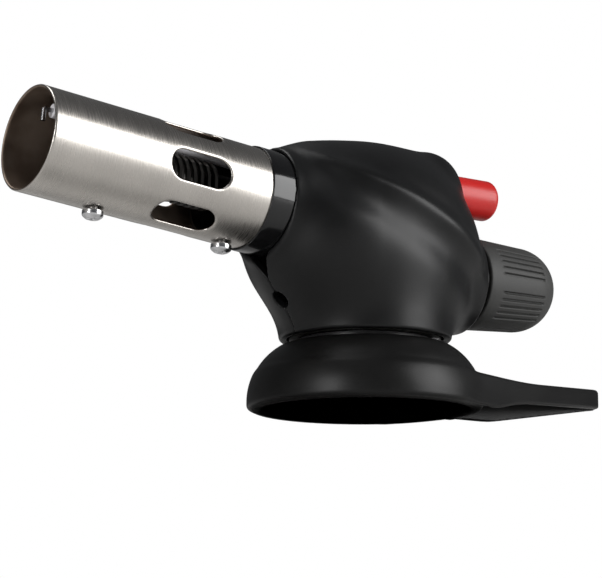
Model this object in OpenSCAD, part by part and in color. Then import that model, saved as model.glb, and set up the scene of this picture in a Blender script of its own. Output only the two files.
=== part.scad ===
// Hand torch head with piezo ignition and a quick-lock ring for a gas cartridge.
// Origin: centre of the lock ring's rim plane. +Z up, the flame tube points towards -X.

/* [Flame tube] */
// Outer radius of the flame tube
tube_r = 15; // [12:0.5:16]
// Wall of the flame tube
tube_wall = 0.8; // [0.5:0.1:1.2]
// Height of the burner axis where it crosses the centre line
burner_h = 54; // [50:1:60]
// Upward tilt of the burner axis
burner_tilt = 6; // [0:1:12]
// Distance along the burner axis to the tube's mouth
mouth_s = 115.5; // [100:0.5:145]
// Distance along the burner axis to the collar's front edge
collar_s = 44.3; // [42:0.1:48]
// Distance along the burner axis to the front edge of the shells
shell_front_s = 37; // [34:0.5:38]
// Number of air slots round the tube
slot_count = 6; // [4:1:8]
// Length of an air slot
slot_len = 19.7; // [12:0.1:24]
// Width of an air slot
slot_w = 9; // [5:0.5:10]
// Distance along the burner axis to the middle of the air slots
slot_s = 68.3; // [66:0.1:74]
// Radius of the mixing tube
mix_r = 4.5; // [3.5:0.1:5]
// Distance of the ignition electrode above the burner axis
electrode_up = 9.3; // [8.6:0.1:10]

/* [Housing] */
// Wall of the two shells
shell_wall = 2.4; // [1.6:0.1:3]
// Radius of the round foot of the shells
foot_r = 25.4; // [23:0.2:30]
// Height of the shells' bottom edge
foot_z = 20.8; // [20.4:0.1:21.6]
// Gap on each side of the parting plane
seam_gap = 0.05; // [0.02:0.01:0.2]
// How far the ridge stands out of the sides
ridge_h = 1.2; // [0:0.1:2]

/* [Lock ring] */
// Outer radius of the lock ring
dish_r = 34.9; // [33.5:0.1:42]
// Radius of the dome arc above its rim
dome_r = 18.9; // [18:0.1:20]
// Radius of the bore that takes the cartridge's shoulder
skirt_r = 31; // [29:0.1:31.5]
// Height of the lock ring's top face
dish_top = 19.6; // [19:0.1:19.7]
// Distance from the centre line to the lever's tip
lever_x = 92; // [80:0.1:110]
// Width of the lever's tip
lever_tip_w = 5.6; // [4:0.1:9]
// Wall of the lever
lever_wall = 2; // [1.4:0.1:2.6]
// Radius of the fixed hub that the lock ring turns on
hub_r = 12; // [10.5:0.1:13]

/* [Valve knob] */
// Height of the knob's axis
knob_h = 42.35; // [40:0.1:44]
// Radius of the knob at its front edge
knob_r = 14.3; // [12.5:0.1:15.5]
// Where the knob's front face stands
knob_x = 37.9; // [37.6:0.1:39]
// Length of the knob
knob_len = 32; // [27:0.5:38]
// Number of groove groups round the knob
groove_groups = 6; // [4:1:8]
// Grooves in one group
groove_count = 5; // [3:1:6]
// Radius of the spindle's plain end
spindle_r = 2.5; // [2:0.1:2.8]

/* [Ignition] */
// Height of the button's axis
button_h = 69.5; // [68:0.1:71]
// Radius of the button
button_r = 6.3; // [5.2:0.1:6.6]
// Where the button's face stands at rest
button_x = 48.7; // [46:0.1:54]
// Travel of the button
button_travel = 6; // [4:0.5:6]

/* [Hidden] */
$fn = 64;
TAU = 6.2831853;

fit_gap = 0.05;
loose_gap = 0.3;
tube_bore = tube_r - tube_wall;
tube_s = 30;
collar_r = tube_r + 0.5;
collar_back_s = shell_front_s - 4;
cup_s = 31;
cup_len = 23;
cup_disc = 2.5;
liner_r = tube_bore - 0.1;
liner_wall = 1.1;
rear_screw_s = 50.3;
front_screw_s = 93;
holder_s = front_screw_s - 4;
holder_len = 8;
screw_head_r = 3;
screw_head_h = 2.6;
screw_r = 1.5;
screw_stand = 0.4;
mix_wall = 0.9;
mix_s = 19;
mix_end_s = holder_s + holder_len - 1;
coil_r = mix_r + 1.9;
coil_wire = 0.8;
coil_pitch = 2.4;
coil_s = slot_s - 13;
coil_turns = 11;
ceramic_r = 2;
ceramic_s = 29;
ceramic_end_s = mouth_s - 6.5;
wire_r = 0.7;
wire_end_s = ceramic_end_s + 2.6;
jet_s = 4;
jet_len = 14;

top_h = button_h;
foot_inner = foot_r - shell_wall;
plate_z = foot_z + 0.2;
plate_t = 2;
plate_r = foot_inner - 0.4;
plate_screw_r = plate_r - 3.2;
boss_r = 3.4;
head_boss_r = 5.2;
head_seat_y = 8;
shell_screws_at = [[-21, 30], [22, 29], [24, 58]];

dome_cx = dish_r - dome_r;
dome_cz = 2.4;
dish_wall = 2.4;
skirt_len = 5.8;
relief_r = skirt_r + 0.5;
ceiling_z = dish_top - 2.7;
hub_bottom = 8;
flange_out = hub_r + 3;
flange_t = 1.6;
stem_r = 4.1;
stem_depth = 4.2;
seal_r = 4.8;
seal_t = 2.4;
seal_gap = 0.3;
clip_z = 14.5;
clip_t = 1;
washer_top = foot_z;
claw_count = 3;
claw_r0 = hub_r + 5;
claw_r1 = 23.3;
rivet_r = 20;

barrel_r = 8.5;
barrel_x = 26;
chamber_x = -1.8;
chamber_r = 3.3;
needle_end = 12;
nose_r = 4.5;
nose_x = 22.2;
dome_len = 12;
groove_x = knob_x + 5.6;
groove_len = knob_len - 14.5;
groove_turn = 5.5;
boss_end_x = 36;
boss_r_out = knob_r + 0.75;
ring_r = knob_r - 0.6;

button_back = 27;
flange_r = button_r + 0.9;
case_front = button_back - button_travel - 0.6;
case_len = 30.4;
case_w = 11;
case_h = 10;
spring_r = button_r - 2.1;
spring_wire = 0.45;
plunger_r = spring_r - spring_wire - 0.55;
spring_turns = 9;
cup_depth = 3.2;

// ---------- placing ----------

// A point on the burner axis, s from the centre line.
function on_burner(s) = [-s * cos(burner_tilt), 0, burner_h + s * sin(burner_tilt)];

// Local +Z runs along the burner axis towards the mouth, and local +X points up.
module along_burner(s = 0) {
    translate(on_burner(s)) rotate([0, burner_tilt - 90, 0]) children();
}

// Local +Z runs along +X, at a height above the rim plane, and local +X points down.
module along_x(x, height) {
    translate([x, 0, height]) rotate([0, 90, 0]) children();
}

module ring(r_out, r_in, length) {
    difference() {
        cylinder(r = r_out, h = length);
        translate([0, 0, -1]) cylinder(r = r_in, h = length + 2);
    }
}

// A flat slot outline with round ends, along local Y of a plane.
module stadium(length, width) {
    union() {
        square([length - width, width], center = true);
        for (side = [-1, 1]) translate([side * (length - width) / 2, 0]) circle(d = width);
    }
}

// A tube swept round a ring of sections: `rows` is a list of closed loops with equal counts.
module skin(rows) {
    n = len(rows[0]);
    m = len(rows);
    points = [for (row = rows) each row];
    sides = [for (i = [0:m - 2], j = [0:n - 1])
        let (a = i * n + j, b = i * n + (j + 1) % n)
            each [[a, b, b + n], [a, b + n, a + n]]];
    polyhedron(points, concat([[for (j = [n - 1:-1:0]) j]], sides,
        [[for (j = [0:n - 1]) (m - 1) * n + j]]));
}

// A wound spring along +Z.
module helix(radius, wire, pitch, turns, steps = 14, sides = 6) {
    skin([for (k = [0:turns * steps])
        let (turn = 360 * k / steps, z = wire + pitch * k / steps)
            [for (j = [0:sides - 1])
                let (a = 360 * j / sides, out = radius + wire * cos(a))
                    [out * cos(turn), out * sin(turn), z + wire * sin(a)]]]);
}

// ---------- shape of the housing ----------

// Each part of the form is a tapered capsule: two centres and two radii.
FORM = [
    [[6, 0, burner_h + 5], on_burner(50), tube_r - 0.5, tube_r + 0.5],
    [[0, 0, 10], [0, 0, 52], foot_r - 0.1, foot_r + 1.2],
    [[8, 0, 38], [50, 0, knob_h], knob_r + 0.7, knob_r + 0.3],
    [[-21, 0, 67.4], [22.4, 0, top_h + 0.2], 9.5, 11.8],
    [[-13.1, 0, 49.5], [10.4, 0, 48.7], foot_r + 0.7, foot_r + 1]];
form_blend = 8;
form_centre = [0, 0, 48];
ridge_z = 58.3;
ridge_slope = 0.44;
valley_d = 1.3;

function clamp01(t) = min(1, max(0, t));
function ease(t) = let (u = clamp01(t)) u * u * (3 - 2 * u);

function capsule(p, c) =
    let (ab = c[1] - c[0], t = clamp01((p - c[0]) * ab / (ab * ab)))
        norm(p - c[0] - t * ab) - (c[2] + (c[3] - c[2]) * t);

function soft_min(a, b, k) =
    let (h = clamp01(0.5 + 0.5 * (b - a) / k)) b + (a - b) * h - k * h * (1 - h);

function blended(p, i) = i == 0 ? capsule(p, FORM[0])
    : soft_min(blended(p, i - 1), capsule(p, FORM[i]), form_blend);

// Distance above the slanting ridge line that runs from the collar down to the knob.
function above_ridge(p) = (p[2] + ridge_slope * p[0] - ridge_z) / norm([1, ridge_slope]);

// The ridge and the valley below it, fading out towards the collar and the knob.
function relief(p) =
    let (q = above_ridge(p), fade = ease((p[0] + 33) / 9) * ease((35 - p[0]) / 9))
        fade * (ridge_h * exp(-pow(q / 3, 2)) - valley_d * exp(-pow((q + 8) / 5, 2)));

function form(p) = blended(p, len(FORM) - 1) - relief(p);

// How far the surface at `level` lies from the centre in one direction.
function reach(from, dir, level, lo, hi, n) = n == 0 ? (lo + hi) / 2
    : let (mid = (lo + hi) / 2)
        form(from + dir * mid) < level ? reach(from, dir, level, mid, hi, n - 1)
            : reach(from, dir, level, lo, mid, n - 1);

// The closed form at one depth below its surface, swept from a pole on the -Y side to one on +Y.
module form_solid(level, rings, sides) {
    step = 180 / (rings + 1);
    rows = [for (i = [1:rings])
        [for (j = [0:sides - 1])
            let (turn = 360 * j / sides, polar = step * i,
                dir = [sin(polar) * cos(turn), -cos(polar), sin(polar) * sin(turn)])
                form_centre + dir * reach(form_centre, dir, level, 4, 90, 17)]];
    poles = [for (dir = [[0, -1, 0], [0, 1, 0]])
        form_centre + dir * reach(form_centre, dir, level, 4, 90, 17)];
    last = 2 + (rings - 1) * sides;
    near_fan = [for (j = [0:sides - 1]) [0, 2 + (j + 1) % sides, 2 + j]];
    sheet = [for (i = [0:rings - 2], j = [0:sides - 1])
        let (a = 2 + i * sides + j, b = 2 + i * sides + (j + 1) % sides)
            each [[a, b + sides, a + sides], [a, b, b + sides]]];
    far_fan = [for (j = [0:sides - 1]) [1, last + j, last + (j + 1) % sides]];
    polyhedron(concat(poles, [for (row = rows) each row]), concat(near_fan, sheet, far_fan));
}

// Free space under the knob's boss, behind the round foot.
module under_boss() {
    difference() {
        translate([16, -50, foot_z - 30]) cube([40, 100, knob_h - boss_r_out + 0.5 - foot_z + 30]);
        translate([0, 0, -20]) cylinder(r = foot_r + 0.5, h = 100);
    }
}

// Posts, ribs and ledges that stand inside the near half and reach its wall.
module shell_inside(head_side) {
    for (at = shell_screws_at) {
        translate([at[0], 0, at[1]]) rotate([90, 0, 0]) cylinder(r = boss_r, h = 40);
        if (head_side)
            translate([at[0], -head_seat_y, at[1]]) rotate([90, 0, 0])
                cylinder(r = head_boss_r, h = 40);
    }
    for (x = [-1, 1])
        translate([x * plate_screw_r * sin(45), -plate_screw_r * cos(45), plate_z + plate_t])
            cylinder(r = boss_r + 0.6, h = 9);
    translate([button_back + 1.8, -30, button_h - 9]) cube([1.7, 30, 30]);
    difference() {
        for (x = [case_front - 7, case_front - case_len + 3])
            translate([x, -30, button_h - 7.5]) cube([2, 30, 30]);
        piezo_space();
    }
}

module piezo_space() {
    translate([case_front - case_len - 0.1, -case_w / 2 - 0.1, button_h - case_h / 2 - 0.1])
        cube([case_len + 0.2, case_w + 0.2, case_h + 0.2]);
}

// Everything that opens the near half: foot, tube, knob, button, holes and screws.
module shell_openings(head_side) {
    translate([0, 0, plate_z + plate_t - 1]) cylinder(r = flange_out + fit_gap, h = flange_t + 1.1);
    translate([-80, -80, foot_z - 60]) cube([160, 160, 60]);
    along_burner(shell_front_s) cylinder(r = 40, h = 60);
    along_burner(tube_s - 1) cylinder(r = collar_r + fit_gap, h = 40);
    translate([boss_end_x, -60, -20]) cube([60, 120, 140]);
    along_x(boss_end_x - 6, knob_h) cylinder(r = ring_r + fit_gap, h = 20);
    along_x(case_front, button_h) cylinder(r = button_r + loose_gap, h = 60);
    along_x(case_front, button_h) cylinder(r = flange_r + loose_gap, h = button_back + 1.8 - case_front);
    translate([-46, 0, 0]) rotate([90, 0, 90]) linear_extrude(13)
        polygon([[-5, 44], [5, 44], [0, 36]]);
    translate([-31, 0, 30]) rotate([0, -125, 0]) translate([0, 0, -6]) cylinder(r = 2.7, h = 14);
    for (at = shell_screws_at)
        translate([at[0], 0, at[1]]) rotate([90, 0, 0]) {
            translate([0, 0, -1]) cylinder(r = head_side ? screw_r + 0.2 : screw_r, h = 13);
            if (head_side) translate([0, 0, head_seat_y]) cylinder(r = screw_head_r + loose_gap, h = 40);
        }
    for (x = [-1, 1])
        translate([x * plate_screw_r * sin(45), -plate_screw_r * cos(45), plate_z]) cylinder(r = screw_r, h = 9);
}

// The near half. The other half is its mirror image, with the screws' heads in it.
module shell_half(head_side) {
    difference() {
        form_solid(0, 28, 44);
        translate([-100, -seam_gap, -100]) cube([200, 200, 300]);
        difference() {
            form_solid(-shell_wall, 16, 32);
            shell_inside(head_side);
        }
        under_boss();
        shell_openings(head_side);
    }
}

module shell_left() {
    color([0.09, 0.09, 0.1]) shell_half(false);
}

module shell_right() {
    color([0.09, 0.09, 0.1]) mirror([0, 1, 0]) shell_half(true);
}

// ---------- screws ----------

// A pan-head screw: its head stands above local Z = 0 and its shank goes below.
module pan_screw(shank) {
    difference() {
        rotate_extrude() polygon([[0, -shank], [screw_r - 0.4, -shank], [screw_r - fit_gap, 0.4 - shank],
            [screw_r - fit_gap, 0], [screw_head_r, 0], [screw_head_r, screw_head_h * 0.55],
            [screw_head_r * 0.85, screw_head_h * 0.85], [screw_head_r * 0.5, screw_head_h],
            [0, screw_head_h]]);
        for (turn = [0, 90]) rotate(turn) translate([-1.7, -0.4, screw_head_h - 1.2]) cube([3.4, 0.8, 2]);
    }
}

module shell_screws() {
    color([0.75, 0.75, 0.76])
        for (at = shell_screws_at)
            translate([at[0], head_seat_y, at[1]]) rotate([-90, 0, 0]) pan_screw(head_seat_y + 10);
}

module tube_screws() {
    color([0.8, 0.8, 0.8])
        for (s = [rear_screw_s, front_screw_s])
            along_burner(s) translate([-tube_r - screw_stand, 0, 0]) rotate([0, -90, 0])
                pan_screw(screw_stand + tube_wall + liner_wall + 1.2);
}

module mount_plate_screws() {
    color([0.75, 0.75, 0.76])
        for (quarter = [45:90:315])
            rotate(quarter) translate([plate_screw_r, 0, plate_z]) {
                cylinder(r1 = 2.8, r2 = screw_r - fit_gap, h = 1.4);
                cylinder(r = screw_r - fit_gap, h = 8);
            }
}

// ---------- burner ----------

module collar_ring() {
    color([0.03, 0.03, 0.04]) along_burner(collar_back_s) rotate_extrude()
        polygon([[tube_r + fit_gap, 0], [collar_r, 0], [collar_r, collar_s - collar_back_s - 0.4],
            [collar_r - 0.3, collar_s - collar_back_s], [tube_r + fit_gap, collar_s - collar_back_s]]);
}

module burner_tube() {
    color([0.72, 0.7, 0.66]) difference() {
        along_burner(tube_s) ring(tube_r, tube_bore, mouth_s - tube_s);
        along_burner(slot_s)
            for (k = [0:slot_count - 1])
                rotate([0, 0, 180 / slot_count + 360 * k / slot_count]) rotate([0, 90, 0])
                    linear_extrude(tube_r + 5) stadium(slot_len, slot_w);
        for (s = [rear_screw_s, front_screw_s])
            along_burner(s) rotate([0, -90, 0]) cylinder(r = screw_r, h = tube_r + 5);
    }
}

module liner_ring(length) {
    ring(liner_r, liner_r - liner_wall, length);
}

module burner_cup() {
    color([0.6, 0.58, 0.55]) difference() {
        along_burner(cup_s) {
            liner_ring(cup_len);
            ring(liner_r - 0.5, mix_r + fit_gap, cup_disc);
        }
        along_burner(cup_s - 1) {
            translate([electrode_up, 0, 0]) cylinder(r = ceramic_r + 0.2, h = 6);
            for (turn = [60:60:300]) rotate(turn) translate([9.5, 0, 0]) cylinder(r = 1.6, h = 6);
        }
        along_burner(rear_screw_s) rotate([0, -90, 0]) cylinder(r = screw_r, h = tube_r);
    }
}

module mixing_tube() {
    length = mix_end_s - mix_s;
    color([0.72, 0.58, 0.32]) along_burner(mix_s) rotate_extrude()
        polygon([[mix_r + 2.2, 0], [mix_r + 2.5, 0.6], [mix_r, 8], [mix_r, length],
            [mix_r - mix_wall, length], [mix_r - mix_wall, 8], [mix_r + 1.4, 0]]);
}

module vaporiser_coil() {
    color([0.25, 0.24, 0.23]) along_burner(coil_s) helix(coil_r, coil_wire, coil_pitch, coil_turns);
}

module flame_holder() {
    color([0.5, 0.46, 0.4]) difference() {
        along_burner(holder_s) {
            liner_ring(holder_len);
            ring(mix_r + 2, mix_r + fit_gap, holder_len);
            translate([0, 0, holder_len - 2]) ring(liner_r - 0.5, mix_r + 1.5, 2);
        }
        along_burner(holder_s) {
            translate([electrode_up, 0, 0]) cylinder(r = ceramic_r + 0.2, h = 12);
            for (turn = [30:30:330]) rotate(turn) translate([10, 0, 0]) cylinder(r = 1.4, h = 12);
        }
        along_burner(front_screw_s) rotate([0, -90, 0]) cylinder(r = screw_r, h = tube_r);
    }
}

module electrode_ceramic() {
    color([0.93, 0.92, 0.9]) along_burner(ceramic_s) translate([electrode_up, 0, 0])
        ring(ceramic_r, wire_r + fit_gap, ceramic_end_s - ceramic_s);
}

module electrode_wire() {
    color([0.6, 0.6, 0.62]) {
        along_burner(ceramic_s + 0.5) translate([electrode_up, 0, 0])
            cylinder(r = wire_r, h = wire_end_s - ceramic_s - 0.5);
        along_burner(wire_end_s) translate([electrode_up, 0, 0]) sphere(r = wire_r);
        along_burner(wire_end_s) translate([electrode_up, 0, 0]) rotate([0, -90, 0])
            cylinder(r = wire_r, h = 3.5);
    }
}

module gas_jet() {
    color([0.78, 0.62, 0.3]) along_burner(jet_s) difference() {
        union() {
            cylinder(r = 2.6 - fit_gap, h = 8);
            translate([0, 0, 7.1]) cylinder(r = 4.2, h = 4, $fn = 6);
            translate([0, 0, 11]) cylinder(r1 = 3, r2 = 1.4, h = jet_len - 11);
        }
        translate([0, 0, -1]) cylinder(r = 0.9, h = jet_len - 1);
        translate([0, 0, -1]) cylinder(r = 0.3, h = jet_len + 2, $fn = 24);
    }
}

module jet_washer() {
    color([0.75, 0.45, 0.3]) along_burner(jet_s + 6.1) ring(4.4, 2.7, 0.9);
}

// ---------- valve ----------

module valve_body() {
    color([0.74, 0.6, 0.34]) difference() {
        union() {
            translate([0, 0, hub_bottom]) cylinder(r = 9, h = 36);
            translate([0, 0, clip_z - 2]) cylinder(r = hub_r, h = plate_z + plate_t + flange_t - clip_z + 2);
            translate([0, 0, plate_z + plate_t]) cylinder(r = flange_out, h = flange_t);
            translate([0, 0, knob_h]) cylinder(r = 7, h = burner_h - knob_h);
            along_x(-9, knob_h) cylinder(r = barrel_r, h = barrel_x + 9);
            along_burner(-4) cylinder(r = 6, h = 14);
        }
        translate([0, 0, hub_bottom - 1]) cylinder(r = stem_r, h = stem_depth + 1);
        translate([0, 0, hub_bottom + stem_depth]) cylinder(r = seal_r + fit_gap, h = seal_gap + seal_t + 0.1);
        translate([0, 0, hub_bottom]) cylinder(r = 3.6, h = 11);
        translate([0, 0, hub_bottom]) cylinder(r = 1.6, h = knob_h - hub_bottom);
        along_x(-6.2, knob_h) cylinder(r = 1.2, h = 8);
        along_x(chamber_x, knob_h) cylinder(r = chamber_r, h = 40);
        along_x(nose_x - 0.2, knob_h) cylinder(r = nose_r + fit_gap, h = 20);
        translate([-5, 0, knob_h]) cylinder(r = 1.2, h = burner_h - knob_h);
        along_burner(0) cylinder(r = 1.5, h = 20);
        along_burner(jet_s - 0.5) cylinder(r = 2.6, h = 20);
        translate([0, 0, clip_z - 0.1]) ring(hub_r + 5, hub_r - 1, clip_t + 0.2);
    }
}

module mount_plate() {
    color([0.66, 0.66, 0.68]) difference() {
        translate([0, 0, plate_z]) cylinder(r = plate_r, h = plate_t);
        translate([0, 0, plate_z - 1]) cylinder(r = hub_r + fit_gap, h = 5);
        for (quarter = [45:90:315])
            rotate(quarter) translate([plate_screw_r, 0, plate_z]) {
                translate([0, 0, -1]) cylinder(r = screw_r, h = 5);
                translate([0, 0, -0.01]) cylinder(r1 = 2.85, r2 = screw_r, h = 1.42);
            }
    }
}

module upper_washer() {
    color([0.85, 0.84, 0.8]) translate([0, 0, dish_top + 0.2])
        ring(hub_r + 8, hub_r + loose_gap, washer_top - dish_top - 0.2);
}

module lower_washer() {
    color([0.85, 0.84, 0.8]) translate([0, 0, clip_z + clip_t + 0.1])
        ring(hub_r + 4, hub_r + loose_gap, ceiling_z - clip_z - clip_t - 0.3);
}

module circlip() {
    color([0.35, 0.35, 0.37]) difference() {
        translate([0, 0, clip_z]) ring(hub_r + 1.6, hub_r - 0.9, clip_t);
        translate([hub_r - 3, -2, clip_z - 1]) cube([8, 4, 4]);
    }
}

module inlet_seal() {
    color([0.08, 0.08, 0.08]) translate([0, 0, hub_bottom + stem_depth + seal_gap]) ring(seal_r, 1.8, seal_t);
}

module inlet_filter() {
    color([0.62, 0.5, 0.3]) translate([0, 0, 15.4]) cylinder(r = 3.5, h = 3.4);
}

module packing_nut() {
    color([0.74, 0.6, 0.34]) difference() {
        union() {
            along_x(barrel_x + 0.05, knob_h) cylinder(r = 6.6, h = 4.6, $fn = 6);
            along_x(nose_x, knob_h) cylinder(r = nose_r, h = barrel_x + 0.1 - nose_x);
        }
        along_x(nose_x - 1, knob_h) cylinder(r = spindle_r + fit_gap, h = 30);
        along_x(nose_x - 1, knob_h) cylinder(r = spindle_r + 1.35, h = 2.6);
    }
}

module spindle_oring() {
    color([0.07, 0.07, 0.07]) along_x(nose_x + 0.8, knob_h) rotate_extrude()
        translate([spindle_r + 0.68, 0]) circle(r = 0.62, $fn = 24);
}

module valve_needle() {
    color([0.7, 0.7, 0.72]) along_x(0, knob_h) rotate_extrude()
        polygon([[0, -3.3], [0.3, -3.3], [2.4, 0.4], [2.4, 3], [chamber_r - fit_gap, 3],
            [chamber_r - fit_gap, 6], [2.1, 6], [2.1, 7.6], [chamber_r - fit_gap, 7.6],
            [chamber_r - fit_gap, needle_end], [0, needle_end]]);
}

module needle_oring() {
    color([0.07, 0.07, 0.07]) along_x(6.8, knob_h) rotate_extrude()
        translate([2.66, 0]) circle(r = 0.55, $fn = 24);
}

module valve_spindle() {
    thread_end = nose_x - 1;
    thread = [for (x = [needle_end + 2:1:thread_end - 2]) each [[3, x], [3.25, x + 0.4], [3, x + 0.8]]];
    color([0.7, 0.7, 0.72]) along_x(0, knob_h) rotate_extrude()
        polygon(concat([[0, needle_end + 0.1], [3, needle_end + 0.1]], thread,
            [[3, thread_end], [spindle_r, thread_end], [spindle_r, knob_x + 17],
                [0, knob_x + 17]]));
}

module knob() {
    shoulder = knob_len - dome_len;
    color([0.25, 0.25, 0.24]) along_x(knob_x, knob_h) difference() {
        rotate_extrude() polygon(concat(
            [[0, 4.5], [5.6, 4.5], [5.6, shoulder], [knob_r - 2.7, shoulder], [knob_r - 2.7, 0],
                [knob_r - 0.5, 0], [knob_r, 0.6]],
            [for (t = [0:6:90]) [3 + (knob_r - 4) * cos(t), shoulder + dome_len * sin(t)]],
            [[0, knob_len]]));
        translate([0, 0, 4]) cylinder(r = 4.2, h = 14.5);
        for (group = [0:groove_groups - 1], k = [0:groove_count - 1])
            rotate(360 / groove_groups * group + groove_turn + 9 * (k - (groove_count - 1) / 2))
                translate([knob_r - 0.9, -0.4, groove_x - knob_x]) rotate([0, -2.6, 0])
                    cube([4, 0.8, groove_len]);
    }
}

module knob_insert() {
    color([0.78, 0.62, 0.3]) along_x(knob_x + 4.6, knob_h) ring(4.15, spindle_r + 0.02, 13);
}

module knob_collar() {
    color([0.03, 0.03, 0.03]) along_x(boss_end_x - 4, knob_h) difference() {
        ring(ring_r, 7.5, knob_x - boss_end_x + 3.4);
        translate([0, 0, 2]) ring(ring_r - 1.8, 9, 30);
    }
}

// ---------- lock ring ----------

// The dome's outline: an arc round the shoulder, up to the flat top.
function dome_arc(r, top) =
    let (last = asin((top - dome_cz) / r))
        [for (k = [0:12]) [dome_cx + r * cos(last * k / 12), dome_cz + r * sin(last * k / 12)]];

module dish_outside() {
    rotate_extrude($fn = 96) polygon(concat(
        [[0, 0], [dish_r - 1.9, 0], [dish_r - 1.4, 0.5], [dish_r - 1.4, 1.1], [dish_r - 0.3, 1.5]],
        dome_arc(dome_r, dish_top - 0.4), [[dome_cx + 7.2, dish_top], [0, dish_top]]));
}

module dish_inside() {
    inner_r = dome_r - dish_wall;
    relief_top = dome_cz + sqrt(pow(inner_r, 2) - pow(relief_r - dome_cx, 2));
    rotate_extrude($fn = 96) polygon(concat([[0, -1], [skirt_r, -1], [skirt_r, skirt_len],
            [relief_r, skirt_len], [relief_r, relief_top]],
        [for (p = dome_arc(inner_r, ceiling_z)) if (p[1] > relief_top + 0.3) p],
        [[0, ceiling_z]]));
}

// The lever's plan: two straight sides that leave the dish at a tangent.
lever_turn = asin((dish_r - lever_tip_w / 2) / lever_x);
function lever_plan(inset) =
    let (r = dish_r - inset, tip = lever_tip_w / 2 - inset, x = lever_x - inset)
        [[0, -r], [r * sin(lever_turn), -r * cos(lever_turn)], [x, -tip], [x, tip],
            [r * sin(lever_turn), r * cos(lever_turn)], [0, r]];

// The lever's side outline: it grows out of the dome's side, dips behind it and rises towards its tip.
module lever_side(drop, open_bottom) {
    low = open_bottom ? -20 : 0;
    rotate([90, 0, 0]) linear_extrude(120, center = true)
        polygon([[0, dome_cz], [8, 3.6 - drop], [16, 6 - drop], [24, 8.3 - drop], [30, 9.4 - drop],
            [35, 9.8 - drop], [42, 9.8 - drop], [51, 10.35 - drop],
            [60, 10.9 - drop], [76, 12.1 - drop], [lever_x + 5, 13.5 - drop], [lever_x + 5, 7 + low],
            [60, 4.6 + low], [42, 3.1 + low], [36, 1.2 + low], [29, 0.3 + low], [0, 0.3 + low]]);
}

module lever() {
    intersection() {
        linear_extrude(40) polygon(lever_plan(0));
        lever_side(0, false);
    }
}

module lever_hollow() {
    difference() {
        intersection() {
            translate([0, 0, -20]) linear_extrude(60) polygon(lever_plan(lever_wall));
            lever_side(lever_wall, true);
        }
        translate([0, 0, -30]) cylinder(r = dish_r - 0.6, h = 80);
        rotate([90, 0, 0]) linear_extrude(lever_wall, center = true)
            polygon([[20, 0], [48, 0], [lever_x + 5, 7.2], [lever_x + 5, 20], [20, 20]]);
    }
}

module lock_ring() {
    color([0.09, 0.09, 0.1]) difference() {
        union() {
            dish_outside();
            difference() {
                lever();
                lever_hollow();
            }
            rotate([90, 0, 0]) linear_extrude(lever_wall, center = true)
                polygon([[skirt_r + 1, 0], [48, 0], [lever_x - 1, 6.8], [lever_x - 1, 9], [skirt_r + 1, 9]]);
        }
        dish_inside();
        cylinder(r = hub_r + loose_gap, h = 60);
        for (turn = [0:120:240])
            rotate(turn + 60) translate([rivet_r, 0, 0]) cylinder(r = 1.55, h = dish_top - 0.8);
    }
}

// One hooked claw, a sector of a ring that hangs below the plate.
module claw() {
    out = claw_r1 - 0.3;
    rotate(-16) rotate_extrude(angle = 32)
        polygon([[out, ceiling_z - 0.6], [out - 1.5, ceiling_z - 0.6], [out - 1.5, ceiling_z - 9.2],
            [out - 3.7, ceiling_z - 9.2], [out - 3.7, ceiling_z - 10.6], [out, ceiling_z - 10.6]]);
}

module claw_plate() {
    color([0.68, 0.68, 0.7]) {
        difference() {
            translate([0, 0, ceiling_z - 1.5]) ring(claw_r1, claw_r0, 1.4);
            for (turn = [0:120:240])
                rotate(turn + 60) translate([rivet_r, 0, 0]) cylinder(r = 1.55, h = 30);
        }
        for (k = [0:claw_count - 1]) rotate(360 * k / claw_count) claw();
    }
}

module claw_rivets() {
    color([0.75, 0.75, 0.77])
        for (turn = [0:120:240])
            rotate(turn + 60) translate([rivet_r, 0, 0]) {
                translate([0, 0, ceiling_z - 1.6]) cylinder(r = 1.5, h = 3.4);
                translate([0, 0, ceiling_z - 2.9]) cylinder(r1 = 1.8, r2 = 2.6, h = 1.35);
            }
}

// ---------- ignition ----------

module button() {
    length = button_x - button_back;
    corner = 1.8;
    color([0.85, 0.1, 0.1]) along_x(button_back, button_h) rotate_extrude()
        polygon(concat([[spring_r + 0.7, 0], [flange_r, 0], [flange_r, 1.5], [button_r, 1.5]],
            [for (t = [0:15:90]) [button_r - corner + corner * cos(t), length - corner + corner * sin(t)]],
            [[0, length], [0, length - cup_depth], [spring_r + 0.7, length - cup_depth]]));
}

module return_spring() {
    room = button_x - cup_depth - case_front;
    color([0.7, 0.7, 0.72]) along_x(case_front, button_h)
        helix(spring_r, spring_wire, (room - 2 * spring_wire) / spring_turns, spring_turns, 12);
}

module piezo_case() {
    color([0.12, 0.12, 0.13]) difference() {
        translate([case_front - case_len, -case_w / 2, button_h - case_h / 2])
            cube([case_len, case_w, case_h]);
        along_x(case_front - case_len + 3, button_h) cylinder(r = plunger_r + 0.4, h = 60);
    }
}

module piezo_plunger() {
    color([0.8, 0.8, 0.78]) along_x(case_front - 1.9, button_h)
        cylinder(r = plunger_r, h = button_x - cup_depth - case_front + 1.9);
}

module piezo_hammer() {
    color([0.5, 0.5, 0.52]) along_x(case_front - 15.4, button_h)
        cylinder(r = plunger_r + 0.1, h = 7);
}

module piezo_crystal() {
    color([0.8, 0.8, 0.7]) along_x(case_front - case_len + 3.2, button_h)
        cylinder(r = plunger_r + 0.1, h = 8);
}

module ignition_lead() {
    lead_r = 1.1;
    start = [case_front - case_len, 0, button_h - 1.5];
    finish = on_burner(ceramic_s) + electrode_up * [sin(burner_tilt), 0, cos(burner_tilt)];
    function route(t) = start + t * (finish - start) + [0, 0, -0.6 * sin(180 * t)];
    color([0.1, 0.1, 0.1])
        skin([for (k = [0:8]) [for (j = [0:7])
            route(k / 8) + lead_r * [0, cos(45 * j), sin(45 * j)]]]);
}

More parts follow.
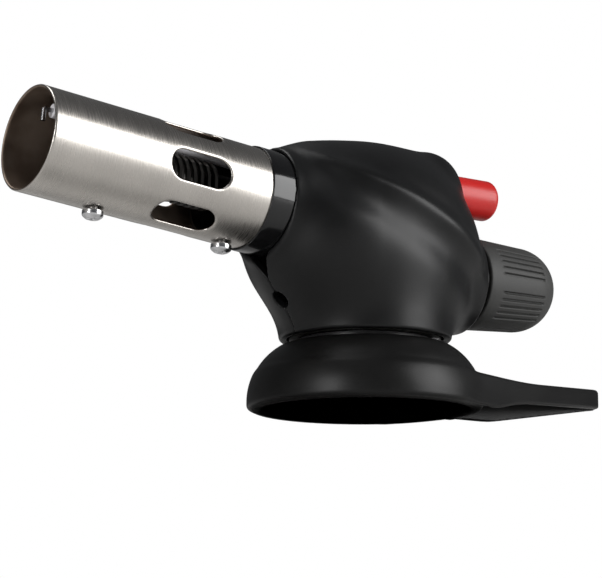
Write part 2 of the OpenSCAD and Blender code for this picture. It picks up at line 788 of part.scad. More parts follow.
shell_left();
shell_right();
shell_screws();
collar_ring();
burner_tube();
tube_screws();
burner_cup();
mixing_tube();
vaporiser_coil();
flame_holder();
electrode_ceramic();
electrode_wire();
gas_jet();
jet_washer();
valve_body();
mount_plate();
mount_plate_screws();
upper_washer();
lower_washer();
circlip();
inlet_seal();
inlet_filter();
packing_nut();
spindle_oring();
valve_needle();
needle_oring();
valve_spindle();
knob();
knob_insert();
knob_collar();
lock_ring();
claw_plate();
claw_rivets();
button();
return_spring();
piezo_case();
piezo_plunger();
piezo_hammer();
piezo_crystal();
ignition_lead();
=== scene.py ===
"""The looks of a hand torch head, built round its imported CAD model.

Shapes here are worked out in millimetres and placed in metres.
"""

import math

import bpy
import numpy as np
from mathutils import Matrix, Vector


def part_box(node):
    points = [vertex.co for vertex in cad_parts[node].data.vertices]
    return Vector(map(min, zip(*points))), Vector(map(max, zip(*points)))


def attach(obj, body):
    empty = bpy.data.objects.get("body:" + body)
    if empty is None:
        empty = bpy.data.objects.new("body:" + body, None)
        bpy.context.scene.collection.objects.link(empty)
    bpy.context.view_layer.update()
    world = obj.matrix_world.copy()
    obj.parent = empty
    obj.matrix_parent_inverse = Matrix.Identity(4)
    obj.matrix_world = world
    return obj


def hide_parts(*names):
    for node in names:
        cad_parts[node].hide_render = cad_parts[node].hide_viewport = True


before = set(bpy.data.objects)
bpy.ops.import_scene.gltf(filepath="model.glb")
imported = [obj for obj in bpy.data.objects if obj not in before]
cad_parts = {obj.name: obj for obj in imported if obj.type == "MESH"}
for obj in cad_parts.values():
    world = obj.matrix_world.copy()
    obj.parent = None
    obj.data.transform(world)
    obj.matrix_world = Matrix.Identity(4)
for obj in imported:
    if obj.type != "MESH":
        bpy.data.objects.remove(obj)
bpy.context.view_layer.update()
MM = 0.001


def box_mm(node):
    """A CAD node's lowest and highest corners in millimetres."""
    low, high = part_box(node)
    return np.array(low) / MM, np.array(high) / MM


# ---------- sizes ----------

# Burner axis: it crosses the centre line at BURNER_H and rises towards the mouth.
BURNER_H = 54.0
BURNER_TILT = math.radians(6)
TUBE_R = 15.0
TUBE_WALL = 0.8
TUBE_S = 30.0
MOUTH_S = 115.5
SLOT_COUNT = 6
SLOT_LEN = 19.7
SLOT_W = 9.0
SLOT_S = 68.3
SCREW_S = (50.3, 93.0)
SCREW_STAND = 0.4
COLLAR_R = 15.5
COLLAR_BACK_S = 33.0
COLLAR_S = 44.3
SHELL_FRONT_S = 37.0

# Housing
SHELL_WALL = 2.4
FOOT_R = 25.4
FOOT_Z = 20.8
SEAM_GAP = 0.05
RIDGE_H = 1.2
VALLEY_D = 1.3
RIDGE_Z = 58.3
RIDGE_SLOPE = 0.44
FORM_BLEND = 8.0
HEAD_SEAT_Y = 8.0
SHELL_SCREWS_AT = ((-21, 30), (22, 29), (24, 58))
POST_R = 3.4
TRI_TOP = 44
TRI_BOTTOM = 36
TRI_HALF = 5
TRI_BACK = -33
LEAN_AT = np.array([-31, 0, 30.0])
LEAN_TURN = math.radians(-125)
LEAN_R = 2.7
FLANGE_ROOM = 1.8
SCREW_R = 1.5
SCREW_HEAD_R = 3.0
SCREW_HEAD_H = 2.6

# Lock ring
DISH_R = 34.9
DOME_R = 18.9
DOME_CZ = 2.4
SKIRT_R = 31.0
SKIRT_LEN = 5.8
SKIRT_RELIEF = 0.5
DISH_WALL = 2.4
CEILING_T = 2.7
LEVER_TIP_W = 5.6
LEVER_WALL = 2.0
HUB_BORE = 12.3

# Knob and button
KNOB_H = 42.35
KNOB_R = 14.3
DOME_LEN = 12.0
GROOVE_GROUPS = 6
GROOVE_COUNT = 5
GROOVE_STEP = 9.0
GROOVE_TURN = 5.5
BUTTON_H = 69.5
BUTTON_R = 6.3

dish_top = box_mm("lock_ring")[1][2]
lever_x = box_mm("lock_ring")[1][0]
knob_x = box_mm("knob")[0][0]
knob_end = box_mm("knob")[1][0]
button_back = box_mm("button")[0][0]
button_face = box_mm("button")[1][0]
boss_end = box_mm("shell_left")[1][0]


# ---------- mesh tools ----------


def on_burner(s):
    """A point on the burner axis, s from the centre line."""
    return np.array([-s * math.cos(BURNER_TILT), 0, BURNER_H + s * math.sin(BURNER_TILT)])


AXIS = np.array([-math.cos(BURNER_TILT), 0, math.sin(BURNER_TILT)])
ACROSS = np.array([math.sin(BURNER_TILT), 0, math.cos(BURNER_TILT)])


def placed(points, origin, side, up, along):
    """Local points, with their third number along the axis, moved into the row frame."""
    return np.asarray(origin) + points @ np.array([side, up, along], float)


def burner_place(points):
    """Local X is up and across the burner axis, local Y is -Y, and local Z runs to the mouth."""
    return placed(points, on_burner(0), ACROSS, (0, 1, 0), AXIS)


def along_x(points, height):
    """Local Z runs along +X at that height, local X points down."""
    return placed(points, (0, 0, height), (0, 0, -1), (0, 1, 0), (1, 0, 0))


def make(name, points, faces, materials, normals=None, sharp=None):
    """A mesh object from points in millimetres."""
    mesh = bpy.data.meshes.new(name)
    mesh.from_pydata((np.asarray(points) * MM).tolist(), [], [list(map(int, f)) for f in faces])
    for m in materials:
        mesh.materials.append(m)
    mesh.validate()
    mesh.polygons.foreach_set("use_smooth", [True] * len(mesh.polygons))
    if sharp is not None:
        mesh.set_sharp_from_angle(angle=math.radians(sharp))
    if normals is not None:
        mesh.normals_split_custom_set_from_vertices(normals.tolist())
    obj = bpy.data.objects.new(name, mesh)
    bpy.context.scene.collection.objects.link(obj)
    return obj


def finish_piece(obj, body, slot, *nodes):
    """Puts a piece on its body, in place of CAD nodes."""
    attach(obj, body)
    if nodes:
        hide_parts(*nodes)
    return obj


def rounded(corners, steps=4):
    """An outline with its corners rounded: each corner is (across, along, radius)."""
    out = []
    n = len(corners)
    for i, (x, z, r) in enumerate(corners):
        here = np.array([x, z], float)
        if r == 0:
            out.append(here)
            continue
        before = np.array(corners[i - 1][:2], float) - here
        after = np.array(corners[(i + 1) % n][:2], float) - here
        d0, d1 = np.linalg.norm(before), np.linalg.norm(after)
        u0, u1 = before / d0, after / d1
        half = math.acos(np.clip(u0 @ u1, -1, 1)) / 2
        reach = min(r / math.tan(half), 0.49 * d0, 0.49 * d1)
        radius = reach * math.tan(half)
        middle = here + (u0 + u1) / np.linalg.norm(u0 + u1) * radius / math.sin(half)
        a0 = here + u0 * reach - middle
        a1 = here + u1 * reach - middle
        sweep = math.acos(np.clip(a0 @ a1 / radius**2, -1, 1))
        for k in range(steps + 1):
            t = k / steps
            w0 = math.sin((1 - t) * sweep) / math.sin(sweep)
            w1 = math.sin(t * sweep) / math.sin(sweep)
            out.append(middle + a0 * w0 + a1 * w1)
    return np.array(out)


def spread(outline, longest, closed=True):
    """The outline with extra points, so that no step is longer than that."""
    out = []
    last = len(outline) if closed else len(outline) - 1
    for i in range(last):
        a, b = outline[i], outline[(i + 1) % len(outline)]
        n = max(1, math.ceil(np.linalg.norm(b - a) / longest))
        out += [a + (b - a) * k / n for k in range(n)]
    if not closed:
        out.append(outline[-1])
    return np.array(out)


def lathe(outline, segments, warp=None, closed=True):
    """Points and faces of an outline turned about local Z.

    warp takes (radius, z, angle) and gives the radius to use instead.
    """
    m = len(outline)
    turn = np.arange(segments) * 2 * math.pi / segments
    r = np.repeat(outline[:, 0][None, :], segments, 0)
    z = np.repeat(outline[:, 1][None, :], segments, 0)
    a = np.repeat(turn[:, None], m, 1)
    if warp is not None:
        r = warp(r, z, a)
    points = np.stack([r * np.cos(a), r * np.sin(a), z], -1).reshape(-1, 3)
    faces = []
    for i in range(segments):
        j = (i + 1) % segments
        for k in range(m if closed else m - 1):
            q = (k + 1) % m
            faces.append((i * m + k, i * m + q, j * m + q, j * m + k))
    return points, faces


def merge_axis(points, faces):
    """Joins the points that lie on the turning axis and drops the faces that vanish."""
    keys = np.round(points, 5)
    unique, index = np.unique(keys, axis=0, return_inverse=True)
    index = index.reshape(-1)
    kept = []
    for f in faces:
        g = []
        for v in index[list(f)]:
            if v not in g:
                g.append(int(v))
        if len(g) > 2:
            kept.append(tuple(g))
    return unique, kept


# ---------- distance fields ----------


def soft_min(a, b, k):
    h = np.clip(0.5 + 0.5 * (b - a) / k, 0, 1)
    return b + (a - b) * h - k * h * (1 - h)


def soft_max(a, b, k):
    return -soft_min(-a, -b, k)


def ease(t):
    u = np.clip(t, 0, 1)
    return u * u * (3 - 2 * u)


def gradient(field, p, h=0.02):
    """The field's slope at points."""
    g = np.empty_like(p)
    for i in range(3):
        d = np.zeros(3)
        d[i] = h
        g[:, i] = (field(p + d) - field(p - d)) / (2 * h)
    return g


def net(field, low, high, cell):
    """A closed quad mesh of the surface where field is 0, with its normals.

    cell is the grid's step, one number or one for each axis.
    """
    cell = np.array(cell, float) * np.ones(3)
    count = np.ceil((np.array(high) - np.array(low)) / cell).astype(int) + 1
    axes = [low[i] + cell[i] * np.arange(count[i]) for i in range(3)]
    f = np.empty(count)
    slab = max(1, 400000 // (count[1] * count[2]))
    for i in range(0, count[0], slab):
        grid = np.stack(np.meshgrid(axes[0][i:i + slab], axes[1], axes[2], indexing="ij"), -1)
        f[i:i + slab] = field(grid.reshape(-1, 3)).reshape(grid.shape[:3])
    inside = f < 0
    total = np.zeros((*(count - 1), 3))
    hits = np.zeros(count - 1)
    quads = []
    for axis in range(3):
        a = [slice(None)] * 3
        b = [slice(None)] * 3
        a[axis] = slice(0, -1)
        b[axis] = slice(1, None)
        fa, fb = f[tuple(a)], f[tuple(b)]
        where = np.argwhere(inside[tuple(a)] != inside[tuple(b)])
        va = fa[tuple(where.T)]
        vb = fb[tuple(where.T)]
        at = where.astype(float)
        at[:, axis] += va / (va - vb)
        o1, o2 = [(1, 2), (2, 0), (0, 1)][axis]
        corners = []
        for d1, d2 in ((0, 0), (-1, 0), (-1, -1), (0, -1)):
            c = where.copy()
            c[:, o1] += d1
            c[:, o2] += d2
            ok = np.all((c >= 0) & (c < count - 1), axis=1)
            np.add.at(total, tuple(c[ok].T), at[ok])
            np.add.at(hits, tuple(c[ok].T), 1)
            corners.append((c, ok))
        good = corners[0][1] & corners[1][1] & corners[2][1] & corners[3][1]
        ids = [np.ravel_multi_index(tuple(c[good].T), tuple(count - 1)) for c, _ in corners]
        q = np.stack(ids, 1)
        flip = va[good] > 0
        q[flip] = q[flip][:, ::-1]
        quads.append(q)
    quads = np.concatenate(quads)
    used = np.flatnonzero(hits.ravel() > 0)
    place = np.full(hits.size, -1)
    place[used] = np.arange(len(used))
    points = total.reshape(-1, 3)[used] / hits.ravel()[used][:, None] * cell + np.array(low)
    faces = place[quads]
    for _ in range(3):
        g = gradient(field, points)
        size = (g * g).sum(1) + 1e-9
        step = g * (field(points) / size)[:, None]
        length = np.linalg.norm(step, axis=1) + 1e-9
        points = points - step * np.minimum(1, 0.4 * cell.max() / length)[:, None]
    g = gradient(field, points)
    return points, faces, g / (np.linalg.norm(g, axis=1)[:, None] + 1e-9)


# ---------- materials ----------


def material(name, colour, roughness, metallic=0.0):
    """A material with its node tree, shader and object coordinates."""
    m = bpy.data.materials.new(name)
    m.use_nodes = True
    shader = m.node_tree.nodes["Principled BSDF"]
    shader.inputs["Base Color"].default_value = (*colour, 1)
    shader.inputs["Roughness"].default_value = roughness
    shader.inputs["Metallic"].default_value = metallic
    coords = m.node_tree.nodes.new("ShaderNodeTexCoord")
    return m, m.node_tree, shader, coords.outputs["Object"]


def noise(tree, coords, scale, detail=3.0, stretch=None, turn=None):
    """A noise texture over the object, `scale` features a metre, that can be stretched along an axis."""
    if stretch is not None or turn is not None:
        mapping = tree.nodes.new("ShaderNodeMapping")
        if stretch is not None:
            mapping.inputs["Scale"].default_value = stretch
        if turn is not None:
            mapping.inputs["Rotation"].default_value = turn
        tree.links.new(coords, mapping.inputs["Vector"])
        coords = mapping.outputs["Vector"]
    n = tree.nodes.new("ShaderNodeTexNoise")
    n.inputs["Scale"].default_value = scale
    n.inputs["Detail"].default_value = detail
    tree.links.new(coords, n.inputs["Vector"])
    return n.outputs["Fac"]


def ramp(tree, value, low, high, out_low, out_high):
    """value from low..high mapped to out_low..out_high."""
    r = tree.nodes.new("ShaderNodeMapRange")
    for key, v in (("From Min", low), ("From Max", high), ("To Min", out_low), ("To Max", out_high)):
        r.inputs[key].default_value = v
    tree.links.new(value, r.inputs["Value"])
    return r.outputs["Result"]


def tint(tree, shader, value, dark, light, low=0.35, high=0.65):
    """Base colour between two colours, by a value."""
    mix = tree.nodes.new("ShaderNodeMix")
    mix.data_type = "RGBA"
    mix.inputs["A"].default_value = (*dark, 1)
    mix.inputs["B"].default_value = (*light, 1)
    tree.links.new(ramp(tree, value, low, high, 0, 1), mix.inputs["Factor"])
    tree.links.new(mix.outputs["Result"], shader.inputs["Base Color"])


def bump(tree, shader, value, strength, distance):
    b = tree.nodes.new("ShaderNodeBump")
    b.inputs["Strength"].default_value = strength
    b.inputs["Distance"].default_value = distance
    tree.links.new(value, b.inputs["Height"])
    tree.links.new(b.outputs["Normal"], shader.inputs["Normal"])


def plastic(name, colour, roughness, grain=0.00005, grain_scale=2600, spread_=0.05, shine=0.5):
    """Moulded plastic with a spark-eroded grain and a slightly uneven gloss."""
    m, tree, shader, coords = material(name, colour, roughness)
    shader.inputs["Specular IOR Level"].default_value = shine
    fine = noise(tree, coords, grain_scale, 2)
    broad = noise(tree, coords, 60, 3)
    gloss = ramp(tree, broad, 0.3, 0.7, roughness - spread_, roughness + spread_)
    tree.links.new(gloss, shader.inputs["Roughness"])
    tint(tree, shader, broad, [c * 0.88 for c in colour], [c * 1.12 for c in colour])
    bump(tree, shader, fine, 0.35, grain)
    return m


def brushed(name, colour, roughness, stretch, scale=900, turn=None, depth=0.00002, warm=0.08):
    """Metal with fine brushed lines across the stretched axis."""
    m, tree, shader, coords = material(name, colour, roughness, 1.0)
    lines = noise(tree, coords, scale, 4, stretch, turn)
    broad = noise(tree, coords, 45, 3)
    gloss = ramp(tree, lines, 0.25, 0.75, roughness * 0.75, roughness * 1.3)
    tree.links.new(gloss, shader.inputs["Roughness"])
    dark = [c * (1 - warm) for c in colour]
    light = [min(1, c * (1 + warm)) for c in colour]
    tint(tree, shader, broad, dark, light)
    bump(tree, shader, lines, 0.25, depth)
    return m


def cast_metal(name, colour, roughness, depth=0.00003, scale=500):
    """Turned or drawn metal with slight tarnish."""
    m, tree, shader, coords = material(name, colour, roughness, 1.0)
    broad = noise(tree, coords, 160, 4)
    tint(tree, shader, broad, [c * 0.72 for c in colour], colour)
    tree.links.new(ramp(tree, broad, 0.3, 0.7, roughness * 0.8, roughness * 1.35), shader.inputs["Roughness"])
    bump(tree, shader, noise(tree, coords, scale, 3), 0.3, depth)
    return m


def heat_tinted(name):
    """The inside of the flame tube: clouded straw to bronze oxide."""
    m, tree, shader, coords = material(name, (0.3, 0.23, 0.18), 0.5, 1.0)
    cloud = noise(tree, coords, 70, 5)
    tint(tree, shader, cloud, (0.2, 0.145, 0.11), (0.4, 0.32, 0.26))
    tree.links.new(ramp(tree, cloud, 0.3, 0.7, 0.4, 0.6), shader.inputs["Roughness"])
    bump(tree, shader, noise(tree, coords, 1400, 3), 0.3, 0.00003)
    return m


SHELL_BLACK = plastic("shell_black", (0.0045, 0.0046, 0.0049), 0.4, shine=0.3)
RING_BLACK = plastic("ring_black", (0.005, 0.0049, 0.0048), 0.4, 0.00006, 2200, shine=0.3)
KNOB_GREY = plastic("knob_grey", (0.04, 0.04, 0.0385), 0.6, 0.00006, 2400)
GLOSS_BLACK = plastic("gloss_black", (0.006, 0.006, 0.0065), 0.12, 0.000008, 900, 0.03)
BUTTON_RED = plastic("button_red", (0.6, 0.014, 0.012), 0.36, 0.00002, 2600)
DARK_PLASTIC = plastic("dark_plastic", (0.02, 0.02, 0.022), 0.35)
WHITE_PLASTIC = plastic("white_plastic", (0.72, 0.71, 0.68), 0.38, 0.00002)
RUBBER = plastic("rubber", (0.012, 0.012, 0.012), 0.6, 0.00003, 1800)
LEAD_INSULATION = plastic("lead_insulation", (0.03, 0.03, 0.032), 0.4)
CERAMIC = plastic("ceramic", (0.86, 0.85, 0.88), 0.3, 0.00002, 1500)
TUBE_STEEL = brushed("tube_steel", (0.54, 0.51, 0.475), 0.26, (90, 1, 1), 110, (0, -BURNER_TILT, 0), 0.00003)
TUBE_INSIDE = heat_tinted("tube_inside")
PLATED = brushed("plated_steel", (0.72, 0.72, 0.73), 0.2, (1, 1, 6), 500)
SPRING_STEEL = cast_metal("spring_steel", (0.5, 0.5, 0.51), 0.28)
DARK_STEEL = cast_metal("dark_steel", (0.1, 0.095, 0.09), 0.38, 0.00004, 900)
BRASS = cast_metal("brass", (0.72, 0.52, 0.22), 0.26)
BRONZE = cast_metal("bronze", (0.45, 0.32, 0.17), 0.5, 0.00008, 1500)
COPPER = cast_metal("copper", (0.8, 0.42, 0.27), 0.3)
ALUMINIUM = brushed("aluminium", (0.75, 0.75, 0.76), 0.3, (1, 1, 8), 300)

CAD_MATERIALS = {
    "burner_cup": DARK_STEEL, "mixing_tube": DARK_STEEL, "vaporiser_coil": DARK_STEEL,
    "flame_holder": DARK_STEEL, "electrode_ceramic": CERAMIC, "electrode_wire": SPRING_STEEL,
    "gas_jet": BRASS, "jet_washer": COPPER, "valve_body": BRASS, "mount_plate": DARK_STEEL,
    "mount_plate_screws": PLATED, "upper_washer": DARK_PLASTIC, "lower_washer": DARK_PLASTIC,
    "circlip": DARK_STEEL, "inlet_seal": RUBBER, "inlet_filter": BRONZE, "packing_nut": BRASS,
    "spindle_oring": RUBBER, "valve_needle": PLATED, "needle_oring": RUBBER,
    "valve_spindle": PLATED, "knob_insert": BRASS, "claw_plate": PLATED, "claw_rivets": ALUMINIUM,
    "return_spring": SPRING_STEEL, "piezo_case": DARK_PLASTIC, "piezo_plunger": WHITE_PLASTIC,
    "piezo_hammer": PLATED, "piezo_crystal": CERAMIC, "ignition_lead": LEAD_INSULATION,
}
for node, look in CAD_MATERIALS.items():
    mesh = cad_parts[node].data
    mesh.materials.clear()
    mesh.materials.append(look)

# ---------- housing ----------

FORM = (
    ((6, 0, BURNER_H + 5), on_burner(50), TUBE_R - 0.5, TUBE_R + 0.5),
    ((0, 0, 10), (0, 0, 52), FOOT_R - 0.1, FOOT_R + 1.2),
    ((8, 0, 38), (50, 0, KNOB_H), KNOB_R + 0.7, KNOB_R + 0.3),
    ((-21, 0, 67.4), (22.4, 0, BUTTON_H + 0.2), 9.5, 11.8),
    ((-13.1, 0, 49.5), (10.4, 0, 48.7), FOOT_R + 0.7, FOOT_R + 1),
)


def capsule(p, a, b, ra, rb):
    a, b = np.array(a, float), np.array(b, float)
    ab = b - a
    t = np.clip((p - a) @ ab / (ab @ ab), 0, 1)
    return np.linalg.norm(p - a - t[:, None] * ab, axis=1) - (ra + (rb - ra) * t)


def form(p):
    """Distance outside the housing's smooth outer form."""
    f = capsule(p, *FORM[0])
    for part in FORM[1:]:
        f = soft_min(f, capsule(p, *part), FORM_BLEND)
    q = (p[:, 2] + RIDGE_SLOPE * p[:, 0] - RIDGE_Z) / math.hypot(1, RIDGE_SLOPE)
    fade = ease((p[:, 0] + 33) / 9) * ease((35 - p[:, 0]) / 9)
    return f - fade * (RIDGE_H * np.exp(-(q / 3) ** 2) - VALLEY_D * np.exp(-((q + 8) / 5) ** 2))


def burner_local(p):
    """(distance from the burner axis, distance along it)."""
    d = p - on_burner(0)
    s = d @ AXIS
    return np.hypot(d @ ACROSS, p[:, 1]), s


def bore_x(p, height, radius, start, end=1e3):
    """A round hole along X."""
    rho = np.hypot(p[:, 1], p[:, 2] - height) - radius
    return np.maximum(np.maximum(rho, start - p[:, 0]), p[:, 0] - end)


def shell_field(head_side):
    """The near half of the housing, on the -Y side, as a field."""
    lean_axis = np.array([math.sin(LEAN_TURN), 0, math.cos(LEAN_TURN)])
    edge, tight = 1.0, 0.5

    def field(p):
        outside = form(p)
        inside = -(outside + SHELL_WALL)
        for x, z in SHELL_SCREWS_AT:
            post = np.hypot(p[:, 0] - x, p[:, 2] - z) - POST_R
            inside = np.minimum(inside, post)
        f = soft_max(outside, inside, tight)
        f = soft_max(f, FOOT_Z - p[:, 2], edge)
        rho, s = burner_local(p)
        f = soft_max(f, s - SHELL_FRONT_S, edge)
        f = soft_max(f, -np.maximum(rho - COLLAR_R - 0.05, TUBE_S - 1 - s), tight)
        f = soft_max(f, p[:, 0] - boss_end, edge)
        f = soft_max(f, -bore_x(p, KNOB_H, KNOB_R - 0.55, boss_end - 6), tight)
        f = soft_max(f, -bore_x(p, BUTTON_H, BUTTON_R + 0.3, 20), edge)
        f = soft_max(f, -bore_x(p, BUTTON_H, BUTTON_R + 1.2, 20, button_back + FLANGE_ROOM), tight)
        # the triangular opening under the collar
        rise = TRI_TOP - TRI_BOTTOM
        side = rise * np.abs(p[:, 1]) + TRI_HALF * (TRI_BOTTOM - p[:, 2])
        tri = np.maximum(p[:, 2] - TRI_TOP, side / math.hypot(rise, TRI_HALF))
        tri = np.maximum(tri, p[:, 0] - TRI_BACK)
        f = soft_max(f, -tri, tight)
        # the round hole that leans up through the front
        d = p - LEAN_AT
        along = d @ lean_axis
        hole = np.linalg.norm(d - along[:, None] * lean_axis, axis=1) - LEAN_R
        hole = np.maximum(hole, np.abs(along - 1) - 7)
        f = soft_max(f, -hole, tight)
        for x, z in SHELL_SCREWS_AT:
            rho = np.hypot(p[:, 0] - x, p[:, 2] - z)
            if head_side:
                head = np.maximum(rho - SCREW_HEAD_R - 0.3, p[:, 1] + HEAD_SEAT_Y)
                f = soft_max(f, -head, tight)
            f = np.maximum(f, -np.maximum(rho - SCREW_R, -12 - p[:, 1]))
        return soft_max(f, p[:, 1] + SEAM_GAP, tight)

    return field


def shell(name, head_side):
    cell = 0.55
    low = (box_mm("shell_left")[0][0] - 1.5, box_mm("shell_left")[0][1] - 1.5, FOOT_Z - 1.5)
    high = (boss_end + 1.5, 1.5, box_mm("shell_left")[1][2] + 1.5)
    points, faces, normals = net(shell_field(head_side), low, high, cell)
    if head_side:
        points = points * (1, -1, 1)
        normals = normals * (1, -1, 1)
        faces = faces[:, ::-1]
    return make(name + "_skin", points, faces, [SHELL_BLACK], normals=normals)


finish_piece(shell("shell_left", False), "torch_body", "shell_plastic", "shell_left")
finish_piece(shell("shell_right", True), "torch_body", "shell_plastic", "shell_right")

# ---------- burner tube ----------


def tube_field(p):
    """The slotted tube, unrolled: distance round the tube, along it, and radius."""
    round_, s, r = p[:, 0], p[:, 1], p[:, 2]
    pitch = 2 * math.pi * TUBE_R / SLOT_COUNT
    u = (round_ % pitch) - pitch / 2
    v = np.maximum(np.abs(s - SLOT_S) - (SLOT_LEN - SLOT_W) / 2, 0)
    slot = np.hypot(u, v) - SLOT_W / 2
    wall = np.abs(r - TUBE_R + TUBE_WALL / 2) - TUBE_WALL / 2
    f = soft_max(wall, -slot, 0.55)
    half = math.pi * TUBE_R
    for at in SCREW_S:
        d = (round_ - half + half) % (2 * half) - half
        f = soft_max(f, SCREW_R - np.hypot(d, s - at), 0.3)
    f = soft_max(f, s - MOUTH_S, 0.5)
    return soft_max(f, TUBE_S - s, 0.4)


def burner_tube():
    cells_round = 192
    around = 2 * math.pi * TUBE_R
    step = around / cells_round
    low = (-step, TUBE_S - 1, TUBE_R - TUBE_WALL - 0.5)
    high = (around + step * 1.5, MOUTH_S + 1, TUBE_R + 0.5)
    points, faces, _ = net(tube_field, low, high, (step, 0.5, 0.2))
    turn = points[:, 0] / TUBE_R + math.pi
    rolled = np.stack([points[:, 2] * np.cos(turn), points[:, 2] * np.sin(turn), points[:, 1]], 1)
    keep = points[faces[:, 0], 0] + points[faces[:, 2], 0]
    faces = faces[(keep > 0) & (keep <= 2 * around)]
    keys = np.round(rolled * 200).astype(int)
    _, first, index = np.unique(keys, axis=0, return_index=True, return_inverse=True)
    index = index.reshape(-1)
    faces = index[faces]
    return rolled[first], faces


def inward(obj, centre_at, axis, radius, slot):
    """Gives the faces that look towards the axis another material."""
    for poly in obj.data.polygons:
        d = np.array(poly.center) / MM - centre_at
        d = d - (d @ axis) * axis
        if np.linalg.norm(d) < radius and np.array(poly.normal) @ d < 0:
            poly.material_index = slot


points, faces = burner_tube()
tube = make("burner_tube_skin", burner_place(points), faces, [TUBE_STEEL, TUBE_INSIDE])
inward(tube, on_burner(0), AXIS, TUBE_R - 0.3, 1)
finish_piece(tube, "torch_body", "stainless", "burner_tube")

collar = rounded([(TUBE_R + 0.05, COLLAR_BACK_S, 0), (COLLAR_R, COLLAR_BACK_S, 0.1),
                  (COLLAR_R, COLLAR_S, 0.35), (TUBE_R + 0.05, COLLAR_S, 0.1)], 5)
points, faces = lathe(spread(collar, 2.0), 192)
obj = make("collar_ring_skin", burner_place(points), faces, [GLOSS_BLACK], sharp=35)
finish_piece(obj, "torch_body", "collar_gloss", "collar_ring")

# ---------- screws ----------


def pan_screw(shank, segments=64):
    """A pan-head screw with a cross recess, head above local Z = 0."""
    outline = rounded([(0, -shank, 0), (SCREW_R - 0.05, -shank, 0.5), (SCREW_R - 0.05, 0, 0),
                       (SCREW_HEAD_R, 0, 0.25), (SCREW_HEAD_R, SCREW_HEAD_H * 0.6, 0.9),
                       (SCREW_HEAD_R * 0.6, SCREW_HEAD_H, 2.2), (0, SCREW_HEAD_H, 0)], 6)
    points, faces = lathe(spread(outline, 0.22, closed=False), segments, closed=False)
    top = points[:, 2] > SCREW_HEAD_H * 0.55
    x, y = np.abs(points[:, 0]), np.abs(points[:, 1])
    arm = np.minimum(np.maximum(x - 1.75, y - 0.38), np.maximum(y - 1.75, x - 0.38))
    sink = ease(-arm / 0.3 + 0.5) * 1.0
    points[:, 2] -= np.where(top, sink, 0)
    return merge_axis(points, faces)


def screws(name, places, look):
    """Several screws as one piece. A place is (origin, side, up, along, shank)."""
    all_points, all_faces, base = [], [], 0
    for origin, side, up, along, shank in places:
        points, faces = pan_screw(shank)
        all_points.append(placed(points, origin, side, up, along))
        all_faces += [tuple(v + base for v in f) for f in faces]
        base += len(points)
    return make(name, np.concatenate(all_points), all_faces, [look], sharp=50)


down = -ACROSS
tube_places = [(on_burner(s) + down * (TUBE_R + SCREW_STAND), AXIS, (0, 1, 0), down, 3.6) for s in SCREW_S]
obj = screws("tube_screws_skin", tube_places, PLATED)
finish_piece(obj, "torch_body", "screw_nickel", "tube_screws")
shell_places = [((x, HEAD_SEAT_Y, z), (1, 0, 0), (0, 0, -1), (0, 1, 0), HEAD_SEAT_Y + 10)
                for x, z in SHELL_SCREWS_AT]
obj = screws("shell_screws_skin", shell_places, PLATED)
finish_piece(obj, "torch_body", "screw_nickel", "shell_screws")

# ---------- valve knob ----------


def knob_outline():
    """From the bore at the back round the skirt to the crown."""
    length = knob_end - knob_x
    shoulder = length - DOME_LEN
    wall = rounded([(5.6, 4.5, 0.3), (5.6, shoulder, 0.5), (KNOB_R - 2.7, shoulder, 0.5),
                    (KNOB_R - 2.7, 0, 0.3), (KNOB_R - 0.15, 0, 0.6), (KNOB_R, 2.0, 0)], 5)
    t = np.radians(np.arange(0, 91, 3))
    dome = np.stack([3 + (KNOB_R - 4) * np.cos(t), shoulder + DOME_LEN * np.sin(t)], 1)
    start = np.array([[0, 4.5]])
    crown = np.array([[2.0, length], [0, length]])
    return spread(np.concatenate([start, wall, dome, crown]), 0.6, closed=False)


def knob_grooves(r, z, a):
    """Sinks the groups of grooves into the outside."""
    length = knob_end - knob_x
    outside = r > KNOB_R - 2.2
    best = np.zeros_like(r)
    for group in range(GROOVE_GROUPS):
        for k in range(GROOVE_COUNT):
            from_middle = k - (GROOVE_COUNT - 1) / 2
            centre = math.radians(360 / GROOVE_GROUPS * group + GROOVE_TURN + GROOVE_STEP * from_middle)
            off = (a - centre + math.pi) % (2 * math.pi) - math.pi
            across = np.abs(off) * KNOB_R
            best = np.maximum(best, 1 - ease((across - 0.22) / 0.34))
    ends = ease((z - 5.2) / 0.9) * ease((length - 8.6 - z) / 1.2)
    return r - np.where(outside, best * ends * 0.75, 0)


points, faces = lathe(knob_outline(), 900, knob_grooves, closed=False)
points[:, 2] += knob_x
points, faces = merge_axis(points, faces)
obj = make("knob_skin", along_x(points, KNOB_H), faces, [KNOB_GREY], sharp=60)
finish_piece(obj, "knob", "knob_plastic", "knob")

ring_r = KNOB_R - 0.6
ring_back = box_mm("knob_collar")[0][0]
ring_front = box_mm("knob_collar")[1][0]
outline = rounded([(7.5, ring_back, 0.2), (ring_r, ring_back, 0.2), (ring_r, ring_front, 0.3),
                   (ring_r - 1.8, ring_front, 0.3), (ring_r - 1.8, ring_back + 2, 0.4),
                   (9, ring_back + 2, 0.4), (9, ring_front, 0.3), (7.5, ring_front, 0.3)], 4)
points, faces = lathe(spread(outline, 1.5), 160)
obj = make("knob_collar_skin", along_x(points, KNOB_H), faces, [GLOSS_BLACK], sharp=35)
finish_piece(obj, "torch_body", "black_trim", "knob_collar")

# ---------- button ----------

